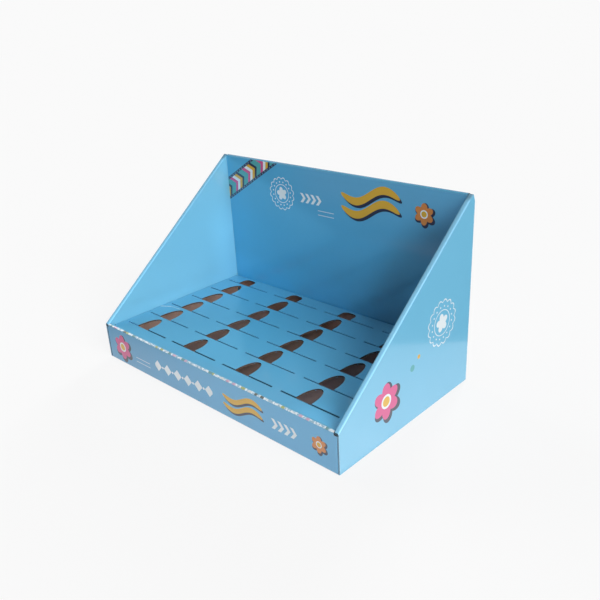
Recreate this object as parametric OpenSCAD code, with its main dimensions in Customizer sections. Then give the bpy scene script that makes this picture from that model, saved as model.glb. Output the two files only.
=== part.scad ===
// Counter display box of printed corrugated board, in two folded sheets.
// The tray has a low front lip, a tall back wall and sloped side walls. Every wall is
// rolled over into a double wall, which traps the corner flaps and locks into the base.
// The platform is a shallow lid on folded legs, with slots and cut-outs for the goods.

/* [Box] */
// Outside width of the tray
box_w = 350; // [250:2:450]
// Outside depth of the tray, front to back
box_d = 204; // [150:2:280]
// Height of the back wall
box_h = 200; // [130:2:280]
// Height of the front lip
lip_h = 43; // [34:1:70]

/* [Board] */
// Thickness of the corrugated board
board_t = 1.6; // [1.2:0.1:2.4]
// Outside radius of a crease
crease_r = 1.4; // [0.6:0.1:2.2]
// Free space on each side of a corner flap inside a side wall
flap_clear = 0.2; // [0.1:0.05:0.5]
// Space between the two plies of the front and back walls
ply_gap = 1.2; // [0.4:0.1:3]
// Gap between cut edges that pass each other at the corners
edge_clear = 0.2; // [0.1:0.05:0.5]

/* [Walls] */
// Level raw edge on top of each side wall, behind its slope
slope_flat = 4.5; // [3:0.5:10]
// Depth of the corner cut off the top of a side wall, at the back
rear_cut_d = 3; // [1:0.5:4]
// Height of the same corner cut
rear_cut_h = 7; // [2:0.5:12]
// How far the ends of the front and back walls lie below what they pass under
notch_clear = 1.4; // [0.5:0.1:5]

/* [Corner flaps] */
// Length of the flaps that fold back from the front lip
front_flap_l = 62; // [20:1:68]
// Length of the flaps that fold forward from the back wall
back_flap_l = 70; // [20:1:76]
// Space between a flap and the slope of its side wall
flap_gap = 1; // [0.5:0.1:4]

/* [Locking tabs] */
// Width of a locking tab
tab_w = 32; // [12:1:50]
// Distance from a side wall's ends to the middle of its tabs
side_tab_inset = 46; // [34:1:60]
// Distance from the front and back walls' ends to the middle of their outer tabs
end_tab_inset = 62; // [40:1:80]
// Free space round a tab in its slot
tab_clear = 0.3; // [0.1:0.05:0.6]
// Height of a tab's tip above the underside
tab_recess = 0.1; // [0:0.05:0.5]

/* [Platform] */
// Drop from the top of the front lip to the platform
platform_drop = 3; // [1:0.5:10]
// Free space between the platform and the walls
platform_clear = 0.5; // [0.2:0.1:2]
// Notch at each corner of the platform, between its legs
leg_relief = 3; // [2.6:0.1:10]

/* [Slots] */
// Distance from one column of slots to the next
slot_pitch_x = 83; // [60:0.5:120]
// Distance from one row of slots to the next
slot_pitch_y = 31.3; // [24:0.1:50]
// Board left between two slots of one row
slot_gap = 11.5; // [5:0.5:24]
// Width of a slot's cut
slot_w = 1.5; // [0.8:0.1:3]
// Distance from the platform's left edge to the first slot
slot_margin_x = 5.3; // [4:0.1:20]
// Distance from the platform's front edge to the first row of slots
slot_margin_y = 17.1; // [6:0.1:30]

/* [Cut-outs] */
// Width of a cut-out
hole_w = 19; // [10:0.5:24]
// Distance from a slot's left end to its cut-out
hole_inset = 19.2; // [4:0.1:30]
// Length of a cut-out's straight sides, before its round end
hole_side = 5; // [2:0.5:12]
// Board left between a cut-out's round end and the next slot
hole_web = 5; // [3:0.1:8]
// Board left between the last row's cut-outs and the platform's back edge
back_web = 5; // [3:0.5:12]

/* [Hidden] */
$fn = 48;

// Overshoot of cutting shapes
over = 0.01;

// Widths of the folded-over tops
side_roll_w = 3 * board_t + 2 * flap_clear;
end_roll_w = 2 * board_t + ply_gap;

// Slope of the side walls
slope_a = atan((box_h - lip_h) / (box_d - slope_flat));
spine_h = board_t / cos(slope_a);
slope_before = lip_h * sin(slope_a) + 1;
slope_run = (box_d + 1) / cos(slope_a) + slope_before;
slope_leg = box_d * sin(slope_a) + box_h * cos(slope_a);

// Notches at the ends of the front lip and of the back wall
front_notch = spine_h + notch_clear;
back_notch = rear_cut_h + notch_clear;

// Inner plies stand this high, on the base
ply_foot = board_t + edge_clear;
// Flaps and outer plies of the front and back walls start here
flap_x = board_t + flap_clear;
// Rolled tops of the front and back walls start here
roll_x = side_roll_w + edge_clear;

// Platform
platform_h = lip_h - platform_drop;
platform_x = side_roll_w + platform_clear;
platform_y = end_roll_w + platform_clear;
platform_w = box_w - 2 * platform_x;
platform_d = box_d - 2 * platform_y;

// Grid of slots
slot_l = slot_pitch_x - slot_gap;
hole_d = slot_pitch_y - hole_web;
// Corners of the cut-outs that are too short for the round end
short_r = 0.35 * hole_w;
least_hole_d = hole_w / 2 + slot_w;
cols = floor((platform_w - 2 * slot_margin_x - slot_l) / slot_pitch_x) + 1;
rows = floor((platform_d - slot_margin_y - back_web - least_hole_d) / slot_pitch_y) + 1;

// Extrude an outline drawn in X and Z along Y, from Y = 0
module along_y(l) {
    translate([0, l, 0]) rotate([90, 0, 0]) linear_extrude(l) children();
}

// Extrude an outline drawn in Y and Z along X, from X = 0
module along_x(l) {
    rotate([90, 0, 90]) linear_extrude(l) children();
}

// The shape and its mirror image on the right side of the box
module left_and_right() {
    children();
    translate([box_w, 0, 0]) mirror([1, 0, 0]) children();
}

// The shape seen from the back wall, with the front and back of the box exchanged
module back_to_front() {
    translate([0, box_d, 0]) mirror([0, 1, 0]) children();
}

// Outline of a rolled-over wall, hanging down from its fold at the origin
module hairpin(w, leg) {
    difference() {
        union() {
            translate([0, -leg]) square([w, leg - crease_r]);
            translate([crease_r, -crease_r - over]) square([w - 2 * crease_r, crease_r + over]);
            for (x = [crease_r, w - crease_r]) translate([x, -crease_r]) circle(crease_r);
        }
        translate([board_t, -leg - over]) square([w - 2 * board_t, leg - board_t + over]);
    }
}

// What a crease's rounding takes off a sharp corner at the origin
module crease_cut() {
    difference() {
        translate([-over, -over]) square(crease_r + over);
        translate([crease_r, crease_r]) circle(crease_r);
    }
}

// Outline, in Y and Z, of the space under the fold of a side wall
module under_slope(gap) {
    drop = spine_h + gap;
    polygon([
        [0, 0],
        [box_d, 0],
        [box_d, box_h + slope_flat * tan(slope_a) - drop],
        [0, lip_h - drop]
    ]);
}

// Left side wall: outer ply, folded slope and inner ply
module side_wall() {
    inner_end = board_t + edge_clear;
    difference() {
        intersection() {
            translate([0, 0, lip_h]) rotate([slope_a, 0, 0]) translate([0, -slope_before, 0])
                along_y(slope_run) hairpin(side_roll_w, slope_leg);
            cube([side_roll_w, box_d, box_h]);
        }
        // The inner ply stops above the base, behind the front and before the back
        translate([board_t, -over, -over])
            cube([side_roll_w, box_d + 2 * over, ply_foot + over]);
        translate([board_t, -over, -over])
            cube([side_roll_w, inner_end + over, lip_h - spine_h + over]);
        translate([board_t, box_d - inner_end, -over])
            cube([side_roll_w, inner_end + over, box_h + 2 * over]);
        // Corner cut at the top of the back edge
        translate([-over, 0, 0]) along_x(side_roll_w + 2 * over) polygon([
            [box_d - rear_cut_d, box_h],
            [box_d - rear_cut_d, box_h + over],
            [box_d + over, box_h + over],
            [box_d + over, box_h - rear_cut_h],
            [box_d, box_h - rear_cut_h]
        ]);
    }
    for (y = [side_tab_inset, box_d - side_tab_inset])
        translate([side_roll_w - board_t, y - tab_w / 2, tab_recess])
            cube([board_t, tab_w, ply_foot - tab_recess + over]);
}

// Left corner flap, in the space between the plies of the side wall
module corner_flap(y0, l, top) {
    translate([flap_x, 0, 0]) along_x(board_t) intersection() {
        translate([y0, ply_foot]) square([l, top - ply_foot]);
        under_slope(flap_gap);
    }
}

// Front or back wall of a given height, with its outer face at Y = 0 and, as its child,
// the left one of the two corner flaps at its ends
module end_wall(h, notch) {
    difference() {
        union() {
            translate([roll_x, 0, h]) along_x(box_w - 2 * roll_x) hairpin(end_roll_w, h);
            translate([flap_x, 0, 0]) cube([box_w - 2 * flap_x, board_t, h - notch]);
            left_and_right() children();
        }
        // The inner ply stops above the base
        translate([0, board_t, -over]) cube([box_w, end_roll_w, ply_foot + over]);
        // Folds to the corner flaps
        left_and_right() translate([flap_x, 0, 0]) linear_extrude(h) crease_cut();
    }
    for (x = [end_tab_inset, box_w / 2, box_w - end_tab_inset])
        translate([x - tab_w / 2, end_roll_w - board_t, tab_recess])
            cube([tab_w, board_t, ply_foot - tab_recess + over]);
}

// Base with the slots that take the locking tabs
module base() {
    slot_t = board_t + 2 * tab_clear;
    slot_len = tab_w + 2 * tab_clear;
    difference() {
        cube([box_w, box_d, board_t]);
        left_and_right() for (y = [side_tab_inset, box_d - side_tab_inset])
            translate([side_roll_w - board_t - tab_clear, y - slot_len / 2, -over])
                cube([slot_t, slot_len, board_t + 2 * over]);
        for (x = [end_tab_inset, box_w / 2, box_w - end_tab_inset])
            for (y = [end_roll_w - board_t, box_d - end_roll_w])
                translate([x - slot_len / 2, y - tab_clear, -over])
                    cube([slot_len, slot_t, board_t + 2 * over]);
    }
}

module tray() {
    front_top = lip_h - front_notch;
    back_top = box_h - back_notch;
    color("skyblue") translate([-box_w / 2, -box_d / 2, 0]) difference() {
        union() {
            base();
            left_and_right() side_wall();
            end_wall(lip_h, front_notch) corner_flap(0, front_flap_l, front_top);
            back_to_front() end_wall(box_h, back_notch)
                back_to_front() corner_flap(box_d - back_flap_l, back_flap_l, back_top);
        }
        // Creases round the bottom
        left_and_right() translate([0, -over, 0]) along_y(box_d + 2 * over) crease_cut();
        translate([-over, 0, 0]) along_x(box_w + 2 * over) crease_cut();
        back_to_front() translate([-over, 0, 0]) along_x(box_w + 2 * over) crease_cut();
    }
}

// One slot with its cut-out, from the slot's left front corner
module slot(depth) {
    square([slot_l, slot_w]);
    translate([hole_inset, 0]) if (depth < hole_w) short_hole(depth); else hole(depth);
}

// Cut-out that ends in half an ellipse
module hole(depth) {
    end_l = depth - hole_side;
    square([hole_w, hole_side]);
    intersection() {
        square([hole_w, depth]);
        translate([hole_w / 2, hole_side]) scale([1, 2 * end_l / hole_w]) circle(hole_w / 2);
    }
}

// Cut-out with a straight back and two round corners
module short_hole(depth) {
    square([hole_w, depth - short_r]);
    translate([short_r, 0]) square([hole_w - 2 * short_r, depth]);
    for (x = [short_r, hole_w - short_r]) translate([x, depth - short_r]) circle(short_r);
}

module platform() {
    leg_h = platform_h - board_t;
    color("deepskyblue") translate([platform_x - box_w / 2, platform_y - box_d / 2, 0])
    difference() {
        union() {
            translate([0, 0, platform_h - board_t]) cube([platform_w, platform_d, board_t]);
            for (x = [0, platform_w - board_t])
                translate([x, 0, board_t]) cube([board_t, platform_d, leg_h]);
            for (y = [0, platform_d - board_t])
                translate([0, y, board_t]) cube([platform_w, board_t, leg_h]);
        }
        // Corner notches
        for (x = [-over, platform_w - leg_relief])
            for (y = [-over, platform_d - leg_relief])
                translate([x, y, 0]) cube([leg_relief + over, leg_relief + over, platform_h + over]);
        // Creases to the four legs
        translate([0, -over, platform_h]) mirror([0, 0, 1])
            along_y(platform_d + 2 * over) crease_cut();
        translate([platform_w, -over, platform_h]) mirror([1, 0, 0]) mirror([0, 0, 1])
            along_y(platform_d + 2 * over) crease_cut();
        translate([-over, 0, platform_h]) mirror([0, 0, 1])
            along_x(platform_w + 2 * over) crease_cut();
        translate([-over, platform_d, platform_h]) mirror([0, 1, 0]) mirror([0, 0, 1])
            along_x(platform_w + 2 * over) crease_cut();
        // Slots, with shorter cut-outs in the last row
        for (row = [0 : rows - 1]) {
            y = slot_margin_y + row * slot_pitch_y;
            depth = min(hole_d, platform_d - back_web - y);
            for (col = [0 : cols - 1])
                translate([slot_margin_x + col * slot_pitch_x, y, platform_h - board_t - over])
                    linear_extrude(board_t + 2 * over) slot(depth);
        }
    }
}

tray();
platform();
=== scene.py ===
# %% [markdown]
# # A counter display box
# Shops set such a box beside the till. It is folded from two die-cut sheets of thin
# corrugated board: a tray with rolled double walls, and a slotted platform that stands
# inside it. The solids come from the CAD model and keep their shape here. What this file
# adds is the finish: laminated print, bare kraft paper, cut edges with their flutes, the
# small marks of handling, painted light and shade, and a plain studio to look at it in.

import math

import bpy
from mathutils import Matrix, Vector


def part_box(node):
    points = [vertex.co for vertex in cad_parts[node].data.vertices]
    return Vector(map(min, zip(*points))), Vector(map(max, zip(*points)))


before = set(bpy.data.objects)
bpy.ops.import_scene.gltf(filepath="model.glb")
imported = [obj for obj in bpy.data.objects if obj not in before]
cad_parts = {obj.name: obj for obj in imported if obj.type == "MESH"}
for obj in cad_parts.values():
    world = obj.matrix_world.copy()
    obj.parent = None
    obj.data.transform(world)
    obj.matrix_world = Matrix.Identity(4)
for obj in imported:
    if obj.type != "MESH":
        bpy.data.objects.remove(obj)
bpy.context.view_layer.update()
tray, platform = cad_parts["tray"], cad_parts["platform"]

# %% [markdown]
# ## Sizes that the finish needs
# A finish follows the sheet it is printed on, so a few sizes of the folding are needed:
# the board's thickness, how wide the rolled tops are, and where each panel lies. The outer
# sizes are read from the frame. Everything below is in millimetres, with x across the box,
# y from the front to the back, and z up.

# %% Measure the board
MM = 0.001
BOARD = 1.6  # thickness of the sheet
CLEAR = 0.2  # room between plies, and between cut edges that pass each other
PLY_GAP = 1.2  # room between the two plies of the lip and of the back wall
SIDE_ROLL = 3 * BOARD + 2 * CLEAR  # width of the side walls' rolled tops
END_ROLL = 2 * BOARD + PLY_GAP  # width of the lip's and the back wall's rolled tops
FLAT_TOP = 4.5  # level end of each side wall, behind its slope
LIP = 43.0  # height of the front lip
print(f"rolled tops: sides {SIDE_ROLL:.1f}, ends {END_ROLL:.1f}")

# %% Measure the panels
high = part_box("tray")[1] / MM
HALF_W, HALF_D, HEIGHT = high.x, high.y, high.z
INNER_X, INNER_Y = HALF_W - SIDE_ROLL, HALF_D - END_ROLL
deck_low, deck_high = (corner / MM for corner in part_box("platform"))
DECK = deck_high.z
slope = math.atan2(HEIGHT - LIP, 2 * HALF_D - FLAT_TOP)
print(f"half width {HALF_W:.1f}, half depth {HALF_D:.1f}, height {HEIGHT:.1f}")
print(f"platform at {DECK:.1f}, side walls slope {math.degrees(slope):.1f} degrees")

# %% Measure the slots
SLOT_LENGTH, SLOT_WIDTH = 71.5, 1.5
COLUMN_PITCH, ROW_PITCH = 83.0, 31.3
FIRST_SLOT_X, FIRST_SLOT_Y = deck_low.x + 5.3, deck_low.y + 17.1
FIRST_ROW_END = FIRST_SLOT_Y + 10.0
print(f"the first slot starts at x {FIRST_SLOT_X:.1f}, y {FIRST_SLOT_Y:.1f}")

# %% [markdown]
# ## The camera
# The view is the one that a customer has: from the right front, a little above. A normal
# lens at arm's length lets the uprights run together a little. The picture is rolled by
# three degrees, so the camera's axes are given one by one rather than with a tracking
# constraint, which would keep it level.

# %% Place the camera
TARGET = Vector((0.03941, 0.0, 0.09232))
DISTANCE = 0.7079
AZIMUTH, ELEVATION, ROLL = (math.radians(a) for a in (44.322, 23.788, -3.160))
SENSOR, LENS = 36, 41.613

back = Vector((
    math.sin(AZIMUTH) * math.cos(ELEVATION),
    -math.cos(AZIMUTH) * math.cos(ELEVATION),
    math.sin(ELEVATION),
))
level = (-back).cross(Vector((0, 0, 1))).normalized()
upright = level.cross(-back)
right = math.cos(ROLL) * level + math.sin(ROLL) * upright
up = math.cos(ROLL) * upright - math.sin(ROLL) * level

camera = bpy.data.objects.new("camera", bpy.data.cameras.new("camera"))
bpy.context.scene.collection.objects.link(camera)
camera.data.sensor_width = SENSOR
camera.data.lens = LENS
turned = Matrix((right, up, back)).transposed().to_4x4()
camera.matrix_world = Matrix.Translation(TARGET + back * DISTANCE) @ turned
bpy.context.scene.camera = camera
print("camera at", [round(v, 3) for v in camera.matrix_world.translation])

# %% [markdown]
# ## Shader maths that reads like maths
# Every finish below is worked out from the position on the board, so there is a lot of
# arithmetic in the materials. The nodes could be made and linked one by one, but then a
# short formula takes a page. `Wire` wraps a node's output and gives it the usual
# operators. Adding two wires adds a Math node, and `1 - mask` works too.

# %% A socket that can be calculated with
class Wire:
    def __init__(self, recipe, socket):
        self.recipe, self.socket = recipe, socket

    def math(self, operation, *others, swap=False):
        terms = [self, *others]
        if swap:
            terms.reverse()
        return self.recipe.node("ShaderNodeMath", {"operation": operation}, dict(enumerate(terms)))

    def __add__(self, other):
        return self.math("ADD", other)

    def __sub__(self, other):
        return self.math("SUBTRACT", other)

    def __rsub__(self, other):
        return self.math("SUBTRACT", other, swap=True)

    def __mul__(self, other):
        return self.math("MULTIPLY", other)

    def __mod__(self, other):
        return self.math("FLOORED_MODULO", other)

    def __abs__(self):
        return self.math("ABSOLUTE")

    def __gt__(self, other):
        return self.math("GREATER_THAN", other)

    def __lt__(self, other):
        return self.math("LESS_THAN", other)

    __radd__, __rmul__ = __add__, __mul__

    def least(self, other):
        return self.math("MINIMUM", other)

    def most(self, other):
        return self.math("MAXIMUM", other)

    def sine(self):
        return self.math("SINE")

    def root(self):
        return self.math("SQRT")

    def ramp(self, start, end):
        """0 before start, 1 after end, and a smooth change between them."""
        setting = {"interpolation_type": "SMOOTHSTEP", "clamp": True}
        return self.recipe.node("ShaderNodeMapRange", setting, {0: self, 1: start, 2: end})


print("a Wire knows + - * % < > abs, least, most, sine, root and ramp")

# %% [markdown]
# A `Recipe` is one material under construction. Its `node` method makes any node: the
# settings go in first, because some of them change which sockets exist, and then the
# values or wires of the sockets. Colours go through Mix and Vector Math nodes, because a
# Math node would turn them grey.

# %% Colours as on a colour card
def ink(code):
    """A colour such as #6cb6e2, taken out of its sRGB curve for the shader."""
    parts = [int(code[i:i + 2], 16) / 255 for i in (1, 3, 5)]
    return (*(c / 12.92 if c <= 0.04045 else ((c + 0.055) / 1.055) ** 2.4 for c in parts), 1)


print("white paper is", [round(c, 2) for c in ink("#ffffff")])

# %% A material under construction
class Recipe:
    def __init__(self, name):
        self.material = bpy.data.materials.new(name)
        self.material.use_nodes = True
        self.tree = self.material.node_tree
        self.shader = self.tree.nodes["Principled BSDF"]
        place = self.node("ShaderNodeTexCoord", out="Object")
        setting = {"operation": "SCALE"}
        self.place = self.node("ShaderNodeVectorMath", setting, {0: place, "Scale": 1 / MM})
        parts = self.tree.nodes.new("ShaderNodeSeparateXYZ")
        self.tree.links.new(self.place.socket, parts.inputs[0])
        self.x, self.y, self.z = (Wire(self, out) for out in parts.outputs)

    def node(self, kind, settings=None, sockets=None, out=0):
        made = self.tree.nodes.new(kind)
        for name, value in (settings or {}).items():
            setattr(made, name, value)
        for name, value in (sockets or {}).items():
            if isinstance(value, Wire):
                self.tree.links.new(value.socket, made.inputs[name])
            elif made.inputs[name].type == "VECTOR":
                made.inputs[name].default_value = value[:3]
            else:
                made.inputs[name].default_value = value
        return Wire(self, made.outputs[out])

    def mix(self, mask, under, over):
        """Lay one colour over another where the mask is 1."""
        setting = {"data_type": "RGBA", "clamp_factor": True}
        return self.node("ShaderNodeMix", setting, {0: mask, 6: under, 7: over}, out=2)

    def shade(self, colour, amount):
        """Multiply a colour by a grey amount."""
        setting = {"operation": "SCALE"}
        return self.node("ShaderNodeVectorMath", setting, {0: colour, "Scale": amount})

    def tinted(self, mask, colour, tint):
        """Multiply a colour by a tint where the mask is 1."""
        setting = {"operation": "MULTIPLY"}
        return self.mix(mask, colour, self.node("ShaderNodeVectorMath", setting, {0: colour, 1: tint}))

    def stretched(self, x, y, z):
        """The place on the board, stretched for patterns with a grain."""
        setting = {"operation": "MULTIPLY"}
        return self.node("ShaderNodeVectorMath", setting, {0: self.place, 1: (x, y, z)})

    def noise(self, scale, detail=2.0, place=None, rough=0.5):
        """Even noise from 0 to 1. A scale of 1 has grains of about a millimetre."""
        sockets = {"Vector": place or self.place, "Scale": scale, "Detail": detail, "Roughness": rough}
        return self.node("ShaderNodeTexNoise", {}, sockets)

    def bump(self, height, depth):
        """Raise the surface by height times depth, in millimetres."""
        sockets = {"Height": height, "Distance": depth * MM, "Strength": 1.0}
        return self.node("ShaderNodeBump", {}, sockets)

    def finish(self, **sockets):
        """Fill the main shader's sockets. Underscores stand for the spaces in their names."""
        for name, value in sockets.items():
            socket = self.shader.inputs[name.replace("_", " ")]
            if isinstance(value, Wire):
                self.tree.links.new(value.socket, socket)
            else:
                socket.default_value = value
        print(f"{self.material.name}: {len(self.tree.nodes)} nodes")
        return self.material


# %% [markdown]
# ## Shapes for the print
# Print is flat fields of colour with clean outlines. A picture file could hold it, but it
# blurs close up. Here each helper gives a mask that is 1 inside its shape, with an edge as
# soft as ink on paper. They take the two coordinates of the panel, u across and v up, and
# the shape's middle, cu and cv.

# %% Outlines
INK_EDGE = 0.12  # half the width of a print's soft edge


def inside(distance):
    """A mask from a distance that is positive inside the shape."""
    return distance.ramp(-INK_EDGE, INK_EDGE)


def far(u, v, cu, cv):
    """Distance from a centre."""
    du, dv = u - cu, v - cv
    return (du * du + dv * dv).root()


def tilted(u, v, cu, cv, tilt):
    """Coordinates along and across a line that is tilted by some degrees."""
    c, s = math.cos(math.radians(tilt)), math.sin(math.radians(tilt))
    return (u - cu) * c + (v - cv) * s, (v - cv) * c - (u - cu) * s


def disc(u, v, cu, cv, radius):
    return inside(radius - far(u, v, cu, cv))


def ring(u, v, cu, cv, radius, line):
    return inside(line / 2 - abs(far(u, v, cu, cv) - radius))


def bar(u, v, cu, cv, length, width, tilt=0.0):
    """A stroke with round ends."""
    along, across = tilted(u, v, cu, cv, tilt)
    over = (abs(along) - (length - width) / 2).most(0.0)
    return inside(width / 2 - (over * over + across * across).root())


def petals(u, v, cu, cv, radius, count, depth, turn=0.0):
    """A flower outline: round lobes with a sharp notch between them."""
    angle = (v - cv).math("ARCTAN2", u - cu)
    lobe = abs((angle * (count / 2) + turn).sine())
    return inside((lobe * depth + (1 - depth)) * radius - far(u, v, cu, cv))


def wave(u, v, cu, cv, length, width, height, tilt=0.0):
    """A stroke that swings through one wave and thins to round ends."""
    along, across = tilted(u, v, cu, cv, tilt)
    along = along * (2 / length)
    swing = (along * math.pi).sine() * (height / 2)
    square = along * along
    body = (1.0 - square * square * square).most(0.0).root() * (width / 2)
    return inside(body - abs(across - swing) - INK_EDGE)


def any_of(masks):
    """The union of several masks."""
    total = masks[0]
    for mask in masks[1:]:
        total = total.most(mask)
    return total


print(f"the ink's edge is {2 * INK_EDGE:.2f} mm wide")

# %% [markdown]
# ## Laminated print
# The outside of the sheet is printed sky blue and laminated with a clear glossy film. One
# blue with a low roughness would do from afar, but it looks like plastic. Three things make
# it look like board: the flutes below show through as faint ridges, the film has a fine
# orange peel, and the folds are scuffed, with painted shade beside them. The film is the
# shader's coat.

# %% The printed sheet
SKY = ink("#69b9dd")
NAVY = ink("#1d2a4a")
WHITE = ink("#f2fbff")
YELLOW = ink("#e8b52a")
ORANGE = ink("#e08a3c")
PINK = ink("#e04a90")
TEAL = ink("#4fb0b4")
# paler wear beside folds, and the painted highlight on the platform
WEAR_AND_HIGHLIGHT = ink("#c4dbe4")
# painted shade and dirt, laid on beside folds
GRIME_AND_SHADE = ink("#33566b")

FLUTE = 3.3  # from one ridge of the flutes to the next
FILM_RELIEF = 0.012  # height of the ridges and of the orange peel
GRIME_AND_SHADE_REACH = (0.9, 0.1)  # painted shade and dirt beside a fold start at the first distance, full at the second
WEAR_REACH = (2.4, 0.0)  # rubbing beside a fold, the same way
FILM_ROUGHNESS, FILM_IOR = 0.12, 1.7


def flutes(r, axis):
    """Even ridges that follow each other along an axis, from -1 to 1."""
    return (getattr(r, axis) * (2 * math.pi / FLUTE)).sine()


def film(
    name, axis, art=None, tint=(1.0, 1.0, 1.0), rim=None, rub=0.5, grime_and_shade=0.35, dull=None, painted_light=None
):
    """Print under film: `art` draws on it, `rim` measures how far the nearest fold is, and beside
    that fold the film is rubbed paler and gets painted shade and dirt. `dull` is 1 where the film
    is worn off, and the panel's gradient brightens or darkens it with painted light and shade."""
    r = Recipe(name)
    mottle = r.noise(0.03, 3.0) * 0.5 + r.noise(0.6, 2.0) * 0.5
    batch = (*(a * b for a, b in zip(SKY, tint)), 1)
    colour = r.shade(batch, mottle * 0.08 + 0.96)
    # painted light and shade from the panel's gradient
    if painted_light:
        colour = r.shade(colour, painted_light(r))
    if art:
        colour = art(r, colour)
    rough = r.noise(0.05, 4.0) * 0.14 + 0.33
    if rim:
        edge = rim(r)
        # painted shade and dirt beside the nearest fold
        colour = r.mix(edge.ramp(*GRIME_AND_SHADE_REACH) * grime_and_shade, colour, GRIME_AND_SHADE)
        worn = edge.ramp(*WEAR_REACH) * r.noise(0.45, 4.0, rough=0.65).ramp(0.5, 0.64)
        colour = r.mix(worn * rub, colour, WEAR_AND_HIGHLIGHT)
        rough = rough + worn * 0.3
    coat = 1.0
    if dull:
        bare = dull(r)
        coat = 1.0 - bare
        rough = rough + bare * 0.45
    peel = r.noise(0.9, 1.0)
    return r.finish(
        Base_Color=colour,
        Roughness=rough,
        Normal=r.bump(flutes(r, axis) * 0.35 + peel * 0.5, FILM_RELIEF),
        Coat_Weight=coat,
        Coat_Roughness=FILM_ROUGHNESS,
        Coat_IOR=FILM_IOR,
    )


print("a flute every", FLUTE, "mm, and a film relief of", FILM_RELIEF, "mm")

# %% [markdown]
# ## Bare kraft paper
# The inside of the sheet is unprinted kraft. It is matt, with long fibres, a few darker
# flecks and ridges from the flutes. The fibres are noise that is stretched along the
# grain, which is cheaper than drawing them one by one. The kraft has painted light on it:
# brighter in the middle, warm at the left, where lamplight reaches what shows through the
# cut-outs, and cool at the right.

# %% The unprinted side
KRAFT = ink("#b89c8e")
SHADED_KRAFT = ink("#475a6b")
FLECK = ink("#8a6450")
# tints for painted light: warm where lamplight reaches, cool where it doesn't
WARM = (1.45, 1.45, 1.5)
COOL = (1.2, 1.35, 1.6)
ALONG, ACROSS = 0.25, 1.6  # how closely fibres follow each other, along and across the grain
KRAFT_RELIEF = 0.04  # height of the ridges and fibres


def kraft(name, paper=KRAFT):
    r = Recipe(name)
    fibres = r.noise(1.2, 4.0, r.stretched(ACROSS, ALONG, ACROSS), 0.65)
    clouds = r.noise(0.04, 3.0)
    flecks = r.noise(0.8, 2.0).ramp(0.66, 0.74)
    # painted light: brighter in the middle, warm to the left, cool to the right
    middle = r.x.ramp(-50.0, 10.0) * r.x.ramp(110.0, 60.0)
    colour = r.shade(paper, fibres * 0.3 + clouds * 0.25 + 0.72)
    colour = r.shade(colour, middle * 0.35 + 0.9)
    colour = r.tinted(r.x.ramp(-40.0, -120.0), colour, WARM)
    colour = r.tinted(r.x.ramp(-30.0, 60.0), colour, COOL)
    colour = r.mix(flecks * 0.5, colour, FLECK)
    return r.finish(
        Base_Color=colour,
        Roughness=0.85,
        Specular_IOR_Level=0.25,
        Normal=r.bump(flutes(r, "x") * 0.5 + fibres * 0.6, KRAFT_RELIEF),
    )


print("kraft relief:", KRAFT_RELIEF, "mm")

# %% [markdown]
# ## Cut edges
# Where the die cuts the sheet, its make-up shows: two liners with a waved paper between
# them, and dark gaps. The wave is drawn as a solid pattern in space, so a cut across the
# flutes shows the wave and a cut along them shows a straight line, as in real board. Thin
# solids would do too, but there are metres of edge, and each layer is a hair thick.
# `depth` measures how far a point lies below the printed face.

# %% The edge of the board
LINER = 0.24  # thickness of each outer paper
MEDIUM = 0.32  # thickness of the waved paper
EDGE_RELIEF = 0.15  # how far the papers stand out of the gaps
TAN = (ink("#33291f"), ink("#8d6a4a"), ink("#d9c7ad"))  # gap, waved paper, liners
# painted shade: darker papers for the platform's cut edges, which lie in shade
SHADED_TAN = (ink("#38291f"), ink("#4f3c30"), ink("#8c7362"))
# blue-grey papers for the side walls' raw edges
BLUE_GREY_PAPERS = (ink("#7aa2bf"), ink("#8db6d0"), ink("#a8cfe5"))
# painted shade: blue papers for the slits' walls
SLIT_SHADE_BLUES = (ink("#3a6888"), ink("#5488a8"), ink("#74a8c4"))


def cut_edge(name, depth, axis, papers=TAN, painted_light=None):
    gap, medium, liner = papers
    r = Recipe(name)
    down = depth(r)
    swing = flutes(r, axis) * (BOARD / 2 - LINER)
    waved = inside(MEDIUM / 2 - abs(down - BOARD / 2 - swing))
    liners = inside(abs(down - BOARD / 2) - (BOARD / 2 - LINER))
    fuzz = r.noise(2.5, 3.0)
    colour = r.mix(waved, gap, medium)
    colour = r.mix(liners, colour, liner)
    colour = r.shade(colour, fuzz * 0.5 + 0.75)
    # painted light and shade on the cut edge
    if painted_light:
        colour = r.shade(colour, painted_light(r))
    return r.finish(
        Base_Color=colour,
        Roughness=0.9,
        Specular_IOR_Level=0.2,
        Normal=r.bump(waved.most(liners) + fuzz * 0.3, EDGE_RELIEF),
    )


print(f"a cut edge shows liners of {LINER} mm and a waved paper of {MEDIUM} mm")

# %% [markdown]
# ## The artwork
# A display box is printed to catch the eye, in the same few colours all over. This one has
# plain ornaments: two yellow waves with a dark shadow, round pink and orange flowers, rows
# of white diamonds and arrows, a scalloped badge and a bright striped band. They are drawn
# one after the other, like the stencils of a silk screen, and each panel has its own set.

# %% Coloured motifs
RIM_BLUE = ink("#5d7ea6")
BAND_RIM = 3.0  # width of the band's dark rims
BAND_CELL = 28.0  # length after which its stripes repeat
STRIPES = ((9.0, PINK), (14.0, WHITE), (19.0, YELLOW), (24.0, NAVY))  # after a teal one


def waves_motif(r, colour, u, v, cu, cv, length, width, height, tilt):
    """Two strokes, one above the other, with a dark shadow."""
    rows = (cv + width * 0.82, cv - width * 0.82)
    drop = width * 0.3
    shadow = [wave(u, v, cu + drop, row - drop, length, width, height, tilt) for row in rows]
    strokes = [wave(u, v, cu, row, length, width, height, tilt) for row in rows]
    return r.mix(any_of(strokes), r.mix(any_of(shadow), colour, NAVY), YELLOW)


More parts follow.
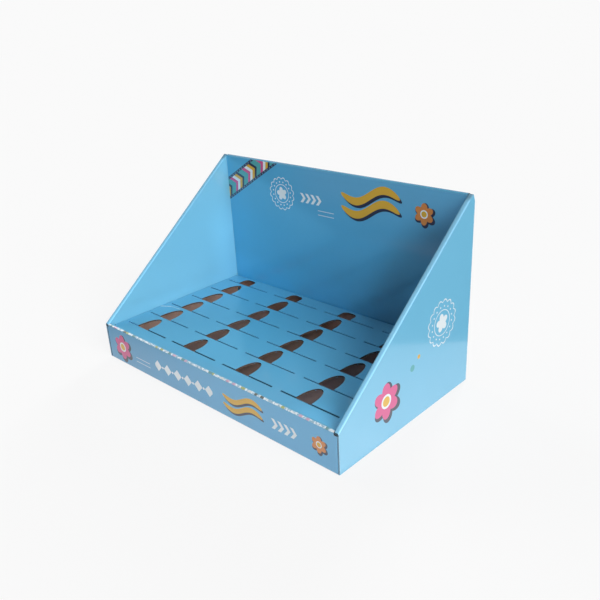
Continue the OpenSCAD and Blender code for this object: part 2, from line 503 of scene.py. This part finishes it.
def flower_motif(r, colour, u, v, cu, cv, radius, top, count=6):
    """Round petals with a dark shadow, and a yellow eye in a white ring."""
    drop = radius * 0.1
    colour = r.mix(petals(u, v, cu + drop, cv - drop, radius, count, 0.32), colour, NAVY)
    colour = r.mix(petals(u, v, cu, cv, radius * 0.88, count, 0.34), colour, top)
    colour = r.mix(disc(u, v, cu, cv, radius * 0.34), colour, WHITE)
    return r.mix(disc(u, v, cu, cv, radius * 0.24), colour, YELLOW)


def band_motif(r, colour, u, v, cu, cv, width, tilt):
    """A striped band with dark rims, running on past both ends of its panel."""
    along, across = tilted(u, v, cu, cv, tilt)
    body = inside(width / 2 - abs(across))
    field = inside(width / 2 - BAND_RIM - abs(across))
    cell = (along + abs(across) * 0.8) % BAND_CELL
    fill = TEAL
    for start, stripe in STRIPES:
        fill = r.mix(cell > start, fill, stripe)
    in_rim = abs(abs(across) - width / 2 + BAND_RIM / 2)
    teeth = inside((1.2 - abs(along % 5.0 - 2.5)).least(0.9 - in_rim))
    rim = r.mix(teeth, NAVY, RIM_BLUE)
    return r.mix(body, colour, r.mix(field, rim, fill))


print("coloured motifs: waves, flower, band")

# %% White motifs
def diamonds_motif(r, colour, u, v, start, cv, count, pitch, size):
    """A row of diamonds with a dot between each two."""
    along = u - start
    row = inside(along.least(count * pitch - along) - pitch * 0.2)
    step = abs(along % pitch - pitch / 2)
    lift = abs(v - cv)
    diamond = inside((size - step - lift) * 0.7)
    gap = pitch / 2 - step
    dot = inside(size * 0.22 - (gap * gap + lift * lift).root())
    return r.mix(row * diamond.most(dot), colour, WHITE)


def arrows_motif(r, colour, u, v, start, cv, count, pitch, height):
    """A row of arrow heads that point to the right."""
    lift = abs(v - cv)
    along = u - start + lift * 0.8
    stroke = along % pitch
    row = inside((along.least(count * pitch - along)).least(height / 2 - lift))
    return r.mix(row * inside((stroke.least(pitch * 0.5 - stroke)) * 0.78), colour, WHITE)


def lines_motif(r, colour, u, v, cu, cv, length, gap, width=0.8):
    """Two thin strokes, one above the other."""
    masks = [bar(u, v, cu, cv + side * gap / 2, length, width) for side in (1, -1)]
    return r.mix(any_of(masks) * 0.75, colour, WHITE)


def badge_motif(r, colour, u, v, cu, cv, radius, count=16):
    """A scalloped ring with dots in it, round a small flower."""
    angle = (v - cv).math("ARCTAN2", u - cu)
    away = far(u, v, cu, cv)
    outer, inner = (petals(u, v, cu, cv, reach, count, 0.12) for reach in (radius, radius - 1.1))
    sector = 2 * math.pi / count
    turn = abs(angle % sector - sector / 2) * away
    out = away - radius * 0.7
    beads = inside(0.9 - (turn * turn + out * out).root())
    circle = ring(u, v, cu, cv, radius * 0.54, 0.8)
    flower = petals(u, v, cu, cv, radius * 0.4, 5, 0.4, 0.3)
    return r.mix(any_of([outer - inner, beads, circle, flower]), colour, WHITE)


print("white motifs: diamonds, arrows, lines, badge")

# %% [markdown]
# Each panel is a short list of motifs with their places in millimetres. Under them lies the
# field of sky blue, and slow tints in it stand for light that bounces between the panels.

# %% The back, the front and the sides
SIDE_INK = 0.78  # strength of the sides' inks, because the sides are lit most


def back_art(r, colour):
    u, v = r.x, r.z
    colour = r.tinted(u.ramp(-20.0, -130.0), colour, (0.9, 0.99, 0.98))
    colour = r.tinted(v.ramp(140.0, 185.0) * u.ramp(-90.0, 0.0), colour, (1.38, 1.0, 0.97))
    colour = badge_motif(r, colour, u, v, cu=-76, cv=164, radius=20)
    colour = arrows_motif(r, colour, u, v, start=-42, cv=164, count=4, pitch=8, height=11)
    colour = lines_motif(r, colour, u, v, cu=-8, cv=150, length=24, gap=5)
    colour = waves_motif(r, colour, u, v, cu=54, cv=173, length=78, width=9, height=15, tilt=3)
    colour = flower_motif(r, colour, u, v, cu=122, cv=172, radius=13, top=ORANGE)
    return band_motif(r, colour, u, v, cu=-140, cv=176, width=24, tilt=32)


def front_art(r, colour):
    u, v = r.x, r.z
    colour = r.tinted(u.ramp(90.0, -60.0), colour, (0.84, 0.95, 0.98))
    colour = flower_motif(r, colour, u, v, cu=-146, cv=21, radius=17, top=PINK)
    colour = lines_motif(r, colour, u, v, cu=-108, cv=14, length=26, gap=5)
    colour = diamonds_motif(r, colour, u, v, start=-88, cv=20, count=6, pitch=17, size=6.5)
    colour = waves_motif(r, colour, u, v, cu=54, cv=22, length=56, width=6, height=9, tilt=3)
    colour = arrows_motif(r, colour, u, v, start=98, cv=20, count=4, pitch=8, height=11)
    return flower_motif(r, colour, u, v, cu=152, cv=22, radius=10, top=ORANGE)


def side_art(r, colour):
    u, v = r.y, r.z
    colour = r.shade(colour, 1 / SIDE_INK)
    colour = badge_motif(r, colour, u, v, cu=52, cv=86, radius=24)
    colour = r.mix(disc(u, v, cu=4, cv=58, radius=3.4), colour, TEAL)
    colour = r.mix(disc(u, v, cu=14, cv=66, radius=2.2), colour, YELLOW)
    colour = flower_motif(r, colour, u, v, cu=-36, cv=42, radius=21, top=PINK)
    return r.shade(colour, SIDE_INK)


print("the sides' inks at", SIDE_INK, "of full strength")

# %% [markdown]
# Two narrow strips have a pattern of their own. The lip's top shows where the front's print
# ends: a white line with small chips of every colour. The side walls' rolled tops have painted
# light and shade: paler towards the front, darker at their back ends and on the left wall,
# with painted shade along the left one's outer edge and where the right one turns inwards.

# %% The rolled tops
PALE_LINE = ink("#9cc4da")
CHIPS_PER_MM = 0.23
CHIPS = (  # the random value from which a cell has that colour
    (0.64, ink("#d9a3c0")),
    (0.71, ink("#c98a5c")),
    (0.77, ink("#a9c47a")),
    (0.82, ink("#3a4660")),
    (0.87, ink("#6fa8ae")),
    (0.92, ink("#f2f4f4")),
)


def confetti(r, colour):
    """A white line along the lip's front edge, with small chips of every colour in it."""
    sockets = {"W": r.x + r.noise(0.5) * 3, "Scale": CHIPS_PER_MM}
    cells = r.node("ShaderNodeTexVoronoi", {"voronoi_dimensions": "1D"}, sockets, "Color")
    pick = r.node("ShaderNodeSeparateColor", {}, {0: cells})
    line = r.mix(r.noise(0.45, 3.0).ramp(0.44, 0.56), PALE_LINE, WHITE)
    for start, chip in CHIPS:
        line = r.mix((pick > start) * 0.8, line, chip)
    ragged = r.noise(0.4, 2.0) * 1.4 + 1.5
    return r.mix(inside((ragged - HALF_D - r.y) * 0.4), colour, line)


def fold_light_and_shade(r, colour):
    """Painted light and shade on the side walls' tops: paler to the front, darker at the back
    end and on the left wall, darker where the right one turns in and along the left one's rim.
    """
    top_end = r.z.ramp(HEIGHT - 6.0, HEIGHT - 2.0)
    # painted light towards the front, painted shade at the back end
    colour = r.shade(colour, r.y.ramp(60.0, -80.0) * 0.22 + 0.92 - top_end * 0.4)
    # painted shade on the left wall's top
    colour = r.shade(colour, 1.0 - (r.x < 0.0) * 0.1)
    inner = r.x - INNER_X
    # painted shade where the right wall's top turns inwards
    turned_in = inner.ramp(1.4, 0.4) * 0.35 + inner.ramp(3.0, 0.8) * 0.2
    colour = r.shade(colour, 1.0 - (r.x > 0.0) * turned_in)
    # painted shade along the left wall's outer edge
    return r.mix((r.x + HALF_W).ramp(2.2, 0.9) * 0.35, colour, GRIME_AND_SHADE)


print(len(CHIPS), "colours of chips on the lip")

# %% [markdown]
# The platform's slots are stamped. Beside each cut a dark line of painted shade stands for
# the shade there, strongest on the first row. The platform was bent once, which lifted a
# strip at its left edge: a painted highlight stands for the light it catches. Painted light
# also makes the platform brighter towards the right.

# %% The platform's top
# painted shade beside the slots
SLOT_SHADE = ink("#2f6888")


def deck_art(r, colour):
    """Painted shade beside the slots, a painted highlight on a lifted strip at the left edge,
    and painted light towards the right and the front right.
    """
    u, v = r.x, r.y
    # painted highlight where a strip at the left edge is lifted and catches the light
    first = bar(u, v, cu=-163, cv=-26.4, length=15, width=2.4, tilt=31)
    second = bar(u, v, cu=-149, cv=-21.8, length=16, width=1.3, tilt=4)
    broken = r.noise(0.5, 3.0).ramp(0.2, 0.5)
    # painted light towards the right and the front right, painted shade to the left
    bright = u.ramp(105.0, 140.0) * v.ramp(-60.0, -90.0)
    colour = r.shade(colour, u.ramp(-170, 110) * 0.12 + 0.91 + bright * 0.2)
    colour = r.tinted(u.ramp(100.0, -20.0), colour, (0.85, 0.96, 0.97))
    # painted shade beside the slots, strongest on the first row
    across = abs((v - FIRST_SLOT_Y) % ROW_PITCH - SLOT_WIDTH / 2)
    across = across.least(ROW_PITCH - across)
    past_end = abs((u - FIRST_SLOT_X) % COLUMN_PITCH - SLOT_LENGTH / 2) - SLOT_LENGTH / 2
    from_first_row = inside(v - FIRST_SLOT_Y + 4.0)
    darkened = across.ramp(2.0, 0.7) * past_end.ramp(0.8, 0.0) * from_first_row
    first_row = (v < FIRST_ROW_END) * (0.3 - u.ramp(-138.0, -146.0) * 0.5)
    colour = r.mix(darkened * (first_row + 0.3), colour, SLOT_SHADE)
    return r.mix(first.most(second * 0.7) * broken * 0.85, colour, WEAR_AND_HIGHLIGHT)


print(f"pressed lines beside slots of {SLOT_LENGTH} by {SLOT_WIDTH} mm")

# %% [markdown]
# ## Which face gets which finish
# The solids have no paint on them, so each face is sorted by where it lies and which way it
# looks. The printed side of the sheet faces out on the outer walls, runs over the rolled
# tops and faces in on the inner walls. What is left is bare kraft, or a cut edge. Picking
# faces by their number would be shorter, but it breaks as soon as the solid changes.

# %% Sort the tray's straight faces
CLOSE = 0.06  # two places nearer than this are the same
STRAIGHT = 0.99  # a face looks along an axis if its normal has this much of it
RAW_END = 2.6  # the side folds' raw ends reach this far below the top of the lip


def near(value, target):
    return abs(value - target) < CLOSE


def sideways_finish(x, z, outward):
    """Faces that look to the left or the right."""
    if x > HALF_W - CLOSE and outward:
        return "side"
    if near(x, INNER_X) and not outward:
        return "inner_side"
    if z < BOARD:
        return "base_edge"
    if near(x, INNER_X - CLEAR):
        return "end_edge"
    return "hollow" if x > INNER_X - CLOSE else "kraft"


def lengthways_finish(x, y, z, outward):
    """Faces that look to the front or the back."""
    on_fold = x > INNER_X - 0.1
    if abs(y) > HALF_D - CLOSE and outward:
        if x > HALF_W - BOARD - 0.1 or (on_fold and y < 0 and z > LIP - RAW_END):
            return "side_edge"
        return "front" if y < 0 else "rear"
    if near(abs(y), INNER_Y) and not outward:
        return "back" if y > 0 else "plain"
    if z < BOARD:
        return "base_edge"
    return "side_edge" if abs(y) > HALF_D - BOARD - 0.3 and on_fold else "kraft"


def level_finish(x, z, upward):
    """Faces that look up or down."""
    if not upward:
        return "plain" if z < CLOSE else ("base_edge" if z < BOARD - 0.1 else "kraft")
    if near(z, LIP) and x < INNER_X:
        return "lip_top"
    if near(z, HEIGHT):
        return "back_roll" if x < INNER_X else "side_edge"
    return "kraft" if near(z, BOARD) else "end_edge"


print("straight faces are told apart to", CLOSE, "mm")

# %% Sort the tray's other faces
CORNER_CUT_D, CORNER_CUT_H = 4.0, 10.0  # room round the corner cut at the top of the back
FOLD_DEPTH = 2.5  # how far below the slope a face still belongs to the rolled top


def top_edge(y, z):
    """Distance below the rolled top of the side walls, for numbers and for wires."""
    return ((y + HALF_D) * math.tan(slope) - z + LIP) * math.cos(slope)


def slanted_finish(x, y, z, n):
    """Rounded folds, the slopes and the corner cuts."""
    on_side_fold = x > INNER_X
    at_corner_cut = z > HEIGHT - CORNER_CUT_H and y > HALF_D - CORNER_CUT_D and on_side_fold
    if n.y > 0.3 and n.z < -0.3:
        return "kraft"
    if n.y > 0.85 and 0.2 < n.z < 0.5 and at_corner_cut:
        return "side_edge"
    if y < -INNER_Y + CLOSE and z > LIP - 2 and x < INNER_X:
        return "lip_top"
    if y < -HALF_D + 2 and z < LIP:
        return "front"
    if z > HEIGHT - 4 and x < INNER_X:
        return "back_roll"
    if top_edge(y, z) < FOLD_DEPTH and x > INNER_X - 0.5:
        return "side_roll"
    return "plain" if z < 2 or x > INNER_X - 4 else "kraft"


def tray_finish(c, n):
    """The finish of a face of the tray, from its middle and its normal."""
    x, y, z = abs(c.x), c.y, c.z
    if abs(n.x) > STRAIGHT:
        return sideways_finish(x, z, n.x * c.x > 0)
    if abs(n.y) > STRAIGHT:
        return lengthways_finish(x, y, z, n.y * y > 0)
    if abs(n.z) > STRAIGHT:
        return level_finish(x, z, n.z > 0)
    return slanted_finish(x, y, z, n)


print(f"the slope's finish reaches {FOLD_DEPTH} mm down")

# %% Sort the platform's faces
def platform_finish(c, n):
    """The finish of a face of the platform, from its middle and its normal."""
    in_slot = (c.y - FIRST_SLOT_Y + CLOSE) % ROW_PITCH < SLOT_WIDTH + 2 * CLOSE
    if in_slot and DECK - BOARD < c.z < DECK - CLOSE:
        return "slit_edge"
    if near(c.z, DECK) or 0.01 < n.z < STRAIGHT:
        return "deck"
    if abs(n.z) > STRAIGHT:
        return "deck_kraft" if near(c.z, DECK - BOARD) else "leg_edge"
    if near(abs(c.x), deck_high.x) or near(abs(c.y), deck_high.y):
        return "deck"
    if near(abs(c.x), deck_high.x - BOARD) or near(abs(c.y), deck_high.y - BOARD):
        return "deck_kraft" if c.z < DECK - BOARD else "deck_edge"
    return "deck_edge" if c.z > DECK - BOARD else "leg_edge"


print(f"the platform's top is at {DECK:.1f} mm")

# %% [markdown]
# ## Light that the studio doesn't give
# In a shop, light bounces between the glossy panels and is lost in the gaps. Three lamps
# don't show all of that, so a few slow gradients in the print stand for it. They depend on
# the place on the board alone, so they stay put from every side.

# %% Gradients
def slit_light(r):
    """The first row of slots gapes and looks darker, but for its left end."""
    first_row = (r.y < FIRST_ROW_END) * (r.x > -140.0)
    first_end = (r.y < FIRST_ROW_END) * (r.x < -140.0)
    return 1.9 - first_row * 1.1 + first_end * 0.7


def back_light(r):
    """Painted shade of the right wall's shadow low on the right of the back wall, and painted light
    along its foot.
    """
    dim = (r.x * 0.95 - r.z).ramp(-75.0, -10.0) * r.x.ramp(20.0, 95.0) * r.z.ramp(190.0, 150.0)
    foot = r.z.ramp(85.0, 48.0) * r.x.ramp(70.0, 20.0)
    return 1.0 - dim * 0.42 + foot * 0.16


def left_light(r):
    """The side walls' insides are a little brighter where the back wall lights them."""
    return r.y.ramp(48.0, 86.0) * r.z.ramp(155.0, 100.0) * 0.18 + 1.0


def raw_light(r):
    """The raw ends of the folds are darker than the cut edges below them."""
    front_end = (r.z > LIP - 3.0) * (r.y < 0.0)
    return 1.0 - front_end.most(r.z > HEIGHT - 8.0) * 0.7


def lip_light(r):
    """The front is a little paler towards the right."""
    return r.x.ramp(-160.0, 100.0) * 0.17 + 0.91


print("gradients for the slots, the back, the insides, the raw ends and the front")

# %% [markdown]
# ## The finishes
# A panel is rubbed near its folds and cuts, with painted shade and dirt beside them, so each
# printed panel says how far the nearest one is. The tints multiply the sky blue, to set each
# panel's ink a little apart and to make up for light that the lamps don't give it.

# %% Distance to the nearest fold
def front_rim(r):
    return r.z.least(LIP - r.z).least(HALF_W - abs(r.x))


def rear_rim(r):
    return r.z.least(HEIGHT - r.z).least(HALF_W - abs(r.x))


def slope_rim(r):
    return top_edge(r.y, r.z)


def side_rim(r):
    return r.z.least(slope_rim(r)).least(HALF_D - abs(r.y))


def side_roll_rim(r):
    return (HALF_W - abs(r.x)) * 1.6


print(f"the side walls' folds run from {LIP:.0f} to {HEIGHT:.0f} mm")

# %% Make the printed finishes
finishes = {
    "front": film(
        "front_print", "x", front_art, (0.86, 0.95, 1.07), front_rim, grime_and_shade=0.15, painted_light=lip_light
    ),
    "back": film(
        "back_print", "x", back_art, (0.58, 0.94, 1.08), lambda r: HEIGHT - r.z, painted_light=back_light
    ),
    "side": film(
        "side_print", "z", side_art, (1.0, 0.9, 0.875), side_rim, rub=0.35, grime_and_shade=0.12
    ),
    "inner_side": film(
        "side_inner_print", "z", None, (1.12, 0.92, 0.865), slope_rim, grime_and_shade=0.1, painted_light=left_light
    ),
    "lip_top": film("lip_top_print", "x", confetti),
    "back_roll": film("back_fold_print", "x", None, (0.5, 0.72, 0.78), lambda r: HALF_D - r.y),
    "side_roll": film(
        "side_fold_print", "z", fold_light_and_shade, (1.55, 1.18, 1.15), side_roll_rim, rub=0.05, grime_and_shade=0.0,
        dull=lambda r: r.x < INNER_X + 1.4,
    ),
    "rear": film("rear_print", "x", rim=rear_rim),
    "plain": film("plain_print", "x"),
    "deck": film("platform_print", "x", deck_art, (0.8, 0.94, 1.0)),
}
print(len(finishes), "printed finishes")

# %% Make the bare finishes
SIDE_LAYERS, END_LAYERS = BOARD + CLEAR, BOARD + PLY_GAP  # from one ply's face to the next

finishes.update({
    "kraft": kraft("bare_kraft"),
    "deck_kraft": kraft("platform_kraft"),
    "hollow": kraft("shaded_kraft", SHADED_KRAFT),
    "side_edge": cut_edge(
        "side_cut_edge", lambda r: (HALF_W - abs(r.x)) % SIDE_LAYERS, "z", BLUE_GREY_PAPERS, raw_light
    ),
    "end_edge": cut_edge(
        "end_cut_edge", lambda r: (HALF_D - abs(r.y)) % END_LAYERS, "x", TAN, raw_light
    ),
    "base_edge": cut_edge("base_cut_edge", lambda r: r.z, "x"),
    "deck_edge": cut_edge("platform_cut_edge", lambda r: DECK - r.z, "x", SHADED_TAN),
    "slit_edge": cut_edge("slit_cut_edge", lambda r: DECK - r.z, "x", SLIT_SHADE_BLUES, slit_light),
    "leg_edge": cut_edge("leg_cut_edge", lambda r: deck_high.x - abs(r.x), "x"),
})
print(len(finishes), "finishes in all")

# %% [markdown]
# Each solid now gets the finishes that its faces ask for. A face holds only the number of
# its material slot, so the slots are filled in the order in which the faces need them.

# %% Dress the two sheets
def dress(sheet, rule):
    sheet.data.materials.clear()
    slots = {}
    counts = {}
    for face in sheet.data.polygons:
        name = rule(face.center / MM, face.normal)
        if name not in slots:
            slots[name] = len(slots)
            sheet.data.materials.append(finishes[name])
        face.material_index = slots[name]
        counts[name] = counts.get(name, 0) + 1
    print(sheet.name, counts)


dress(tray, tray_finish)
dress(platform, platform_finish)

# %% [markdown]
# ## The studio
# A plain pale floor runs into a plain pale world, and the camera sees both as the same near
# white. A very bright lamp on the floor would do that too, but it would bleach the box. So
# the floor's brightness is mostly its own, and only a small part of it comes from the
# lamps, which is enough for a light shadow. What the glossy film mirrors is a brightness of
# its own: strongest to the right of the box, and fading out far to the left front.

# %% Floor
GROUND = 0.955  # brightness of the world, as the camera sees it
FLOOR_GLOW = 0.848  # brightness of the floor's own, as the camera sees it
FLOOR_CATCH = 0.10  # how much lamplight the floor shows to the camera
FLOOR_PAINT = 0.8  # how much lamplight it throws back on the box
REACH, UNDER = 6.0, -0.0002  # half its side, and how far it lies below the box, in metres


def stage_sheet(name, corners):
    """A flat sheet that belongs to the studio."""
    mesh = bpy.data.meshes.new(name)
    mesh.from_pydata(corners, [], [tuple(range(len(corners)))])
    made = bpy.data.objects.new(name, mesh)
    bpy.context.scene.collection.objects.link(made)
    return made


def pale_floor():
    r = Recipe("floor")
    camera_ray = r.node("ShaderNodeLightPath", out="Is Camera Ray")
    glossy_ray = r.node("ShaderNodeLightPath", out="Is Glossy Ray")
    paint = camera_ray * (FLOOR_CATCH - FLOOR_PAINT) - glossy_ray * FLOOR_PAINT + FLOOR_PAINT
    right_of_box = (r.x + r.y).ramp(140.0, 200.0)
    left_front = (r.y * 0.7 + r.x * 0.3).ramp(-230.0, -110.0) * 0.7 + 0.06
    right_front = r.y.ramp(160.0, -120.0) * 0.5 + 0.66
    foot = r.x.ramp(175.5, 180.0) * r.y.ramp(10.0, -50.0) * 0.4
    sheen = (left_front + foot) * (1.0 - right_of_box) + right_front * right_of_box
    glow = camera_ray * FLOOR_GLOW + glossy_ray * sheen
    return r.finish(
        Base_Color=r.shade((1, 1, 1, 1), paint),
        Roughness=1.0,
        Specular_IOR_Level=0.0,
        Emission_Color=r.shade((1, 1, 1, 1), glow),
        Emission_Strength=1.0,
    )


floor = stage_sheet(
    "floor", [(x * REACH, y * REACH, UNDER) for x, y in ((-1, -1), (1, -1), (1, 1), (-1, 1))]
)
floor.data.materials.append(pale_floor())
print(f"floor {2 * REACH:.0f} m wide")

# %% [markdown]
# The right side mirrors the bright floor only up to a line, and above it something dark. In
# a studio that is done with a flag, a frame of black cloth. This one stands to the right of
# the box. Only reflections can see it, so it casts no shadow.

# %% Flag
FLAG_FOOT = Vector((0.247, 0.153, 0))
FLAG_RUN = Vector((0.72, -0.69, 0)) * 0.7
FLAG_RISE = Vector((0, 0, 1.2))
BLACK_CLOTH = ink("#0c0c0c")

flag = stage_sheet("flag", [
    FLAG_FOOT - FLAG_RUN,
    FLAG_FOOT + FLAG_RUN,
    FLAG_FOOT + FLAG_RUN + FLAG_RISE,
    FLAG_FOOT - FLAG_RUN + FLAG_RISE,
])
cloth = Recipe("flag_cloth").finish(Base_Color=BLACK_CLOTH, Roughness=1.0, Specular_IOR_Level=0.0)
flag.data.materials.append(cloth)
for ray in ("camera", "diffuse", "transmission", "shadow", "volume_scatter"):
    setattr(flag, f"visible_{ray}", False)
print(f"flag {2 * FLAG_RUN.length:.1f} m long and {FLAG_RISE.z:.1f} m high")

# %% [markdown]
# The world answers each kind of ray in its own way: the camera sees the pale background,
# the film mirrors a dimmer grey, and all else gets a weak even light. The shadows stay soft
# because the lamps are wide: a key from the right, a fill from the left and one from behind.

# %% World
WORLD = 0.12  # even light on the box
WORLD_SHINE = 0.3  # what the film mirrors

world = bpy.data.worlds.new("studio")
bpy.context.scene.world = world
world.use_nodes = True
links, made = world.node_tree.links, world.node_tree.nodes
path = made.new("ShaderNodeLightPath")
made["Background"].inputs["Color"].default_value = (1, 1, 1, 1)
level_of = made["Background"].inputs["Strength"]
level_of.default_value = WORLD
for ray, strength in (("Is Glossy Ray", WORLD_SHINE), ("Is Camera Ray", GROUND)):
    choose = made.new("ShaderNodeMix")
    choose.inputs["A"].default_value = WORLD
    choose.inputs["B"].default_value = strength
    links.new(path.outputs[ray], choose.inputs["Factor"])
    if level_of.links:
        links.new(level_of.links[0].from_socket, choose.inputs["A"])
    links.new(choose.outputs["Result"], level_of)
print("world:", len(made), "nodes")

# %% Lamps
LAMPS = {  # direction, strength and width in degrees
    "key": ((0.853, -0.150, 0.500), 3.45, 40),
    "fill": ((-0.940, 0.0, 0.342), 1.7, 40),
    "rear": ((-0.25, 0.87, 0.42), 1.6, 15),
}

for name, (direction, strength, width) in LAMPS.items():
    lamp = bpy.data.lights.new(name, "SUN")
    lamp.energy = strength
    lamp.angle = math.radians(width)
    lamp_object = bpy.data.objects.new(name, lamp)
    lamp_object.rotation_euler = Vector(direction).to_track_quat("Z", "Y").to_euler()
    bpy.context.scene.collection.objects.link(lamp_object)
    print(f"{name}: strength {strength}, {width} degrees wide")

bpy.context.scene.view_settings.view_transform = "Standard"
